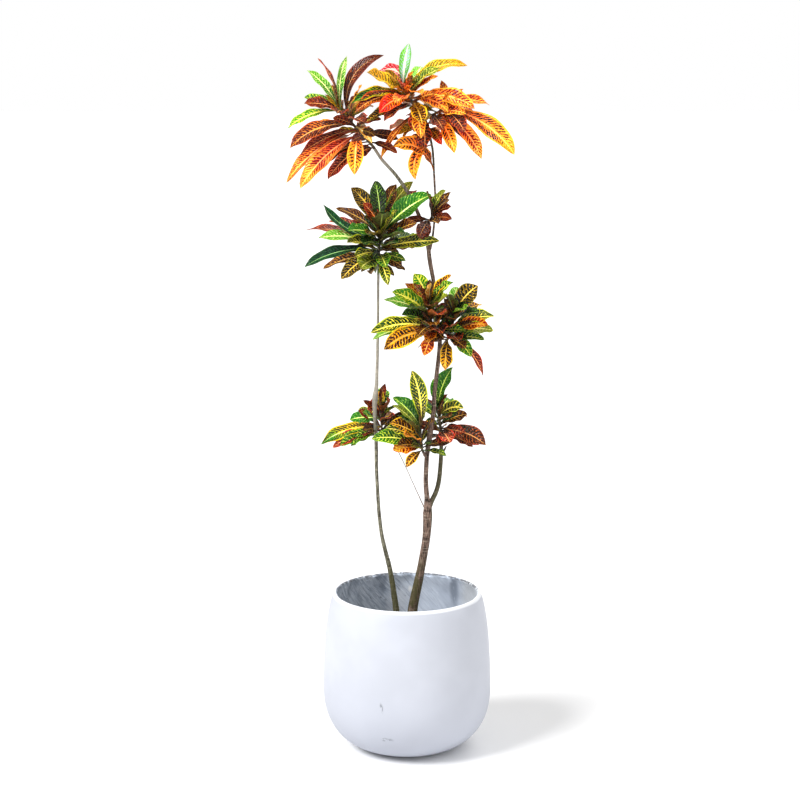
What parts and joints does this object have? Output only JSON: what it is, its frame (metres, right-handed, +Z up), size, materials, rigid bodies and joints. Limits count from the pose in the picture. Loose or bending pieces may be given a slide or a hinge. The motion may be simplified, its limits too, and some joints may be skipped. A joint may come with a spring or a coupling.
{
  "type": "potted croton",
  "caption": "Tall slender croton with bare forked stems and variegated leafy heads, standing in a round rounded-base white planter; a decorative indoor plant.",
  "frame": {"origin": "centre of the flat disc under the planter", "axes": "+Z up along the plant, -Y towards the viewer of the picture, +X to the viewer's right"},
  "size_m": [0.5584, 0.428, 1.7784],
  "materials": {
    "cement_planter": "matte",
    "soil": "matte",
    "bark": "matte",
    "leaf_red_orange": "satin",
    "leaf_orange_gold": "satin",
    "leaf_bronze": "satin",
    "leaf_dark_green": "satin",
    "leaf_green_gold": "satin"
  },
  "bodies": {
    "root": {"pot": "cement_planter", "potting_soil": "soil", "left_cane": "bark", "right_cane": "bark", "top_left_head": "leaf_red_orange", "top_right_head": "leaf_orange_gold", "spur_head": "leaf_bronze", "second_head": "leaf_dark_green", "middle_left_head": "leaf_green_gold", "middle_right_head": "leaf_green_gold", "lower_centre_head": "leaf_dark_green", "lower_right_head": "leaf_green_gold", "lower_left_head": "leaf_green_gold"}
  },
  "joints": []
}
